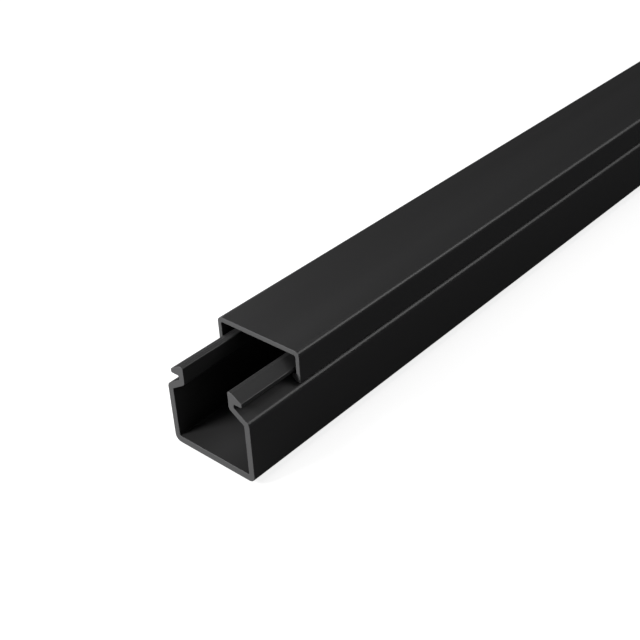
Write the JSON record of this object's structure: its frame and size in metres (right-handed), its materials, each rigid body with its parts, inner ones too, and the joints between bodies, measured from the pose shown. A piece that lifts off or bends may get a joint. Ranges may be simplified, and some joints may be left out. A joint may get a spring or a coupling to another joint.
{
  "type": "cable trunking",
  "caption": "Long square-section cable trunking: an adhesive-backed base channel with hooked legs, and a clip-on lid that slides along it to cover the cables.",
  "frame": {"origin": "centre of the adhesive back, on the outer face of the release liner, halfway along the base", "axes": "+Y along the trunking towards the end that the lid overhangs, +X across it, +Z away from the surface it is stuck to, towards the lid"},
  "size_m": [0.016, 1.0105, 0.017],
  "materials": {
    "black_pvc": "satin",
    "white_foam": "matte",
    "liner_paper": "satin"
  },
  "bodies": {
    "base": {"trunking_base": "black_pvc", "foam_tape": "white_foam", "release_liner": "liner_paper"},
    "lid": {"lid": "black_pvc"}
  },
  "joints": [
    {"name": "lid_slide", "type": "slide", "parent": "base", "child": "lid", "axis": [0, 1, 0], "range_m": [-0.0105, 0.995]}
  ]
}
